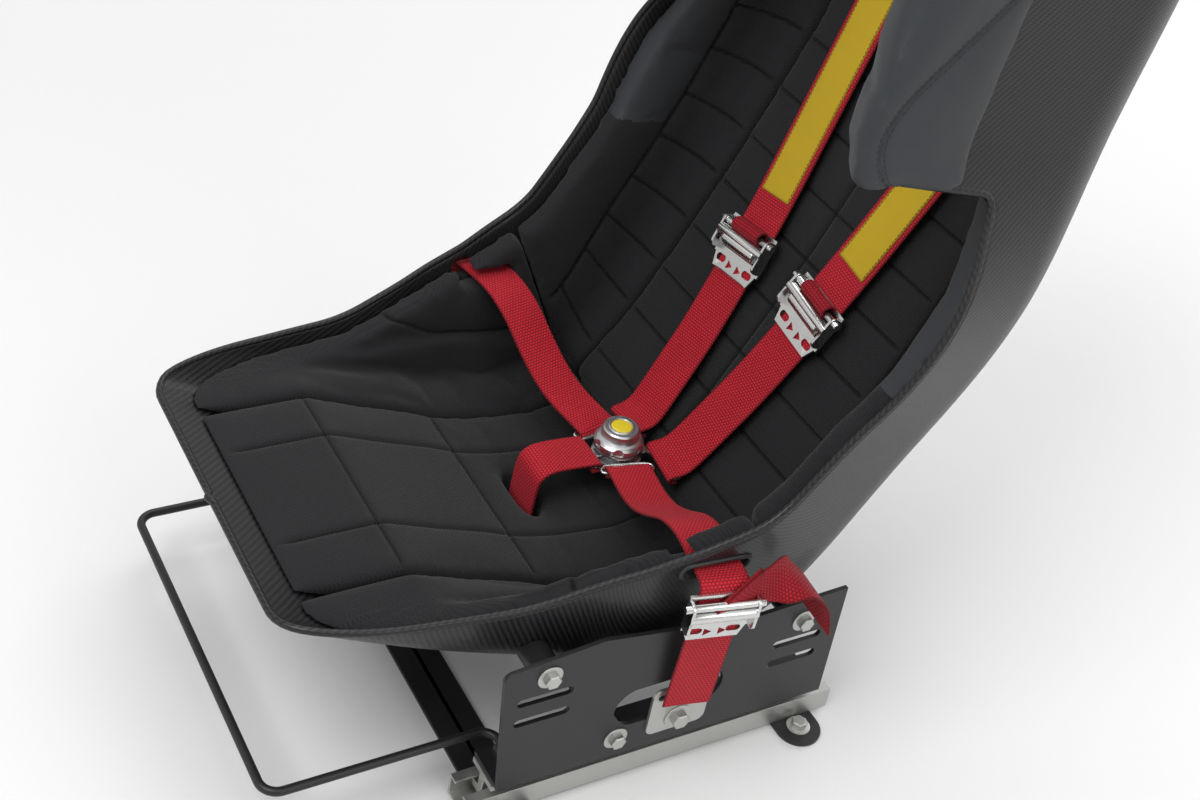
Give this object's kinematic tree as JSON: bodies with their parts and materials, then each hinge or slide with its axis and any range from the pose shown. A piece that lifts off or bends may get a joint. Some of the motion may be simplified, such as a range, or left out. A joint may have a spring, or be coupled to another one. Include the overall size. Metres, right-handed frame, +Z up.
{
  "type": "racing bucket seat with five-point harness",
  "caption": "High-backed bucket seat with head wings, quilted cushions, a five-point webbing harness with a rotary buckle, side brackets and slide rails.",
  "frame": {"origin": "middle of the bounding box on the floor under the cross members, with the seat at mid travel", "axes": "+X to the occupant's left, +Y to the rear, +Z up; the seat faces -Y"},
  "size_m": [0.541, 0.7944, 0.9249],
  "materials": {
    "carbon": "satin twill",
    "knit": "knitted",
    "leatherette": "matt grain",
    "bracket_black": "satin",
    "rail_zinc": "zinc plated",
    "buckle_alloy": "bright anodised",
    "bright_steel": "polished",
    "webbing": "woven"
  },
  "bodies": {
    "base": {"cross_member_front": "bracket_black", "cross_member_rear": "bracket_black", "rail_lower_left": "rail_zinc", "rail_lower_right": "rail_zinc"},
    "seat": {"shell": "carbon", "squab_pad": "knit", "back_pad": "knit", "head_pad": "knit", "crotch_bar": "bracket_black", "buckle_body": "buckle_alloy", "crotch_tongue": "bright_steel", "crotch_strap": "webbing", "thigh_pad_left": "knit", "torso_pad_left": "knit", "wing_pad_left": "leatherette", "rail_upper_left": "rail_zinc", "side_bracket_left": "bracket_black", "shoulder_tongue_left": "bright_steel", "lap_tongue_left": "bright_steel", "shoulder_strap_left": "webbing", "chest_strap_left": "webbing", "shoulder_adjuster_left": "bright_steel", "shoulder_anchor_left": "rail_zinc", "lap_strap_left": "webbing", "lap_adjuster_left": "bright_steel", "lap_anchor_left": "rail_zinc", "thigh_pad_right": "knit", "torso_pad_right": "knit", "wing_pad_right": "leatherette", "rail_upper_right": "rail_zinc", "side_bracket_right": "bracket_black", "shoulder_tongue_right": "bright_steel", "lap_tongue_right": "bright_steel", "shoulder_strap_right": "webbing", "chest_strap_right": "webbing", "shoulder_adjuster_right": "bright_steel", "shoulder_anchor_right": "rail_zinc", "lap_strap_right": "webbing", "lap_adjuster_right": "bright_steel", "lap_anchor_right": "rail_zinc"},
    "knob": {"buckle_knob": "buckle_alloy"},
    "lever": {"slide_lever": "bracket_black"}
  },
  "joints": [
    {"name": "seat_slide", "type": "slide", "parent": "base", "child": "seat", "axis": [0, 1, 0], "range_m": [-0.06, 0.06]},
    {"name": "buckle_turn", "type": "hinge", "parent": "seat", "child": "knob", "pos_m": [0, 0.00877, 0.1875], "axis": [0, 0, 1], "range_deg": [-40, 40], "stiffness_Nm_per_rad": 0.03},
    {"name": "lever_lift", "type": "hinge", "parent": "seat", "child": "lever", "pos_m": [0, -0.18923, 0.056], "axis": [-1, 0, 0], "range_deg": [0, 8], "stiffness_Nm_per_rad": 0.3}
  ]
}
